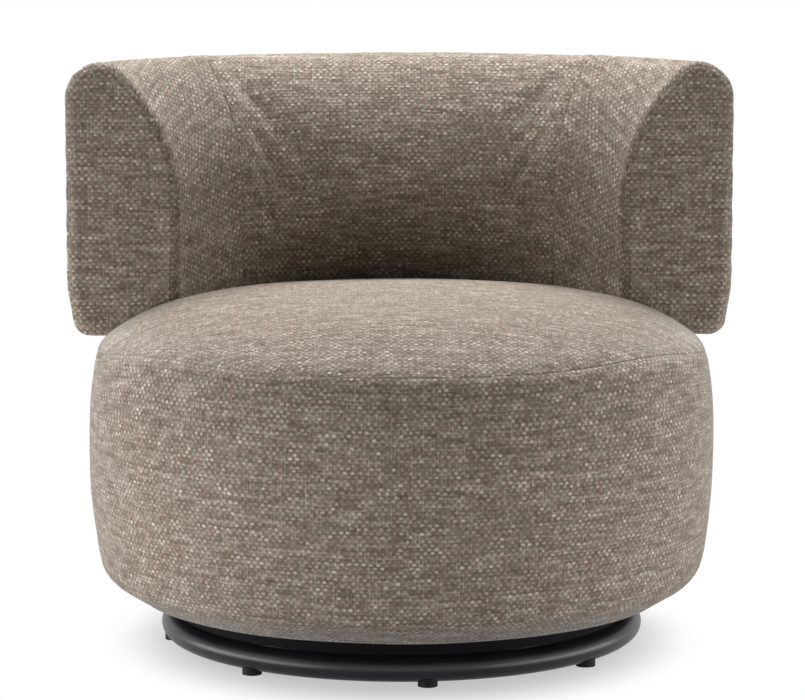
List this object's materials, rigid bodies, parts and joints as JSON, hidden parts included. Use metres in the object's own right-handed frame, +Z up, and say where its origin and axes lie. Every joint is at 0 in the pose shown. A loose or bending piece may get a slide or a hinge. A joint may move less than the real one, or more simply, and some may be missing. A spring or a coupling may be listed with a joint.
{
  "type": "swivel armchair",
  "caption": "Low round swivel armchair: upholstered drum seat, curved wraparound backrest, black steel ring base.",
  "frame": {"origin": "on the floor at the axis that the seat turns about, below the middle of the chair", "axes": "+Z up along the swivel axis; the seated person faces -Y; +X is the right side seen from the front"},
  "size_m": [0.778, 0.7199, 0.663],
  "materials": {
    "taupe_tweed": "matte",
    "black_powder_coat": "satin",
    "black_nylon": "matte",
    "zinc_steel": "satin",
    "polished_steel": "polished",
    "cage_nylon": "matte",
    "black_steel_bar": "satin",
    "birch_plywood": "matte",
    "fibreboard": "matte",
    "elastic_webbing": "matte",
    "dust_cloth": "matte",
    "seat_foam": "matte"
  },
  "bodies": {
    "base": {"base_ring": "black_powder_coat", "base_skirt_band": "black_powder_coat", "base_cross_bar": "black_powder_coat", "base_half_bar_front": "black_powder_coat", "base_half_bar_rear": "black_powder_coat", "base_hub_plate": "black_powder_coat", "base_glides": "black_nylon", "glide_screws": "zinc_steel", "bearing_lower_plate": "zinc_steel", "lower_plate_bolts": "zinc_steel", "pivot_bolt": "zinc_steel", "pivot_head_washer": "zinc_steel", "pivot_nut_washer": "zinc_steel", "pivot_nut": "zinc_steel"},
    "ball_cage": {"bearing_cage": "cage_nylon", "bearing_balls": "polished_steel"},
    "seat": {"bearing_upper_plate": "zinc_steel", "upper_plate_screws": "zinc_steel", "pivot_bush": "cage_nylon", "seat_bottom_board": "birch_plywood", "dust_cover": "dust_cloth", "drum_rib_1": "birch_plywood", "drum_rib_2": "birch_plywood", "drum_rib_3": "birch_plywood", "drum_rib_4": "birch_plywood", "drum_rib_5": "birch_plywood", "drum_rib_6": "birch_plywood", "drum_rib_7": "birch_plywood", "drum_rib_8": "birch_plywood", "drum_top_ring": "birch_plywood", "webbing_straps_lengthwise": "elastic_webbing", "webbing_straps_crosswise": "elastic_webbing", "back_upright_1": "black_steel_bar", "back_upright_2": "black_steel_bar", "back_upright_3": "black_steel_bar", "back_upright_4": "black_steel_bar", "back_upright_5": "black_steel_bar", "upright_bolts": "zinc_steel", "back_bottom_rail": "birch_plywood", "back_top_rail": "birch_plywood", "back_inner_facing": "fibreboard", "back_outer_facing": "fibreboard", "back_former_1": "birch_plywood", "back_former_2": "birch_plywood", "back_former_3": "birch_plywood", "back_former_4": "birch_plywood", "arm_end_board_left": "birch_plywood", "arm_end_board_right": "birch_plywood", "seat_cushion_foam": "seat_foam", "drum_side_foam": "seat_foam", "back_foam": "seat_foam", "seat_top_cover": "taupe_tweed", "drum_side_cover": "taupe_tweed", "back_outer_cover": "taupe_tweed", "back_centre_cover": "taupe_tweed", "wing_cover_left": "taupe_tweed", "wing_cover_right": "taupe_tweed", "arm_front_cover_left": "taupe_tweed", "arm_front_cover_right": "taupe_tweed"}
  },
  "joints": [
    {"name": "seat_swivel", "type": "hinge", "parent": "base", "child": "seat", "pos_m": [0, 0, 0.0511], "axis": [0, 0, 1], "continuous": true},
    {"name": "cage_roll", "type": "hinge", "parent": "base", "child": "ball_cage", "pos_m": [0, 0, 0.0511], "axis": [0, 0, 1], "continuous": true}
  ],
  "couplings": [
    {"joint": "cage_roll", "follows": "seat_swivel", "ratio": 0.5}
  ]
}
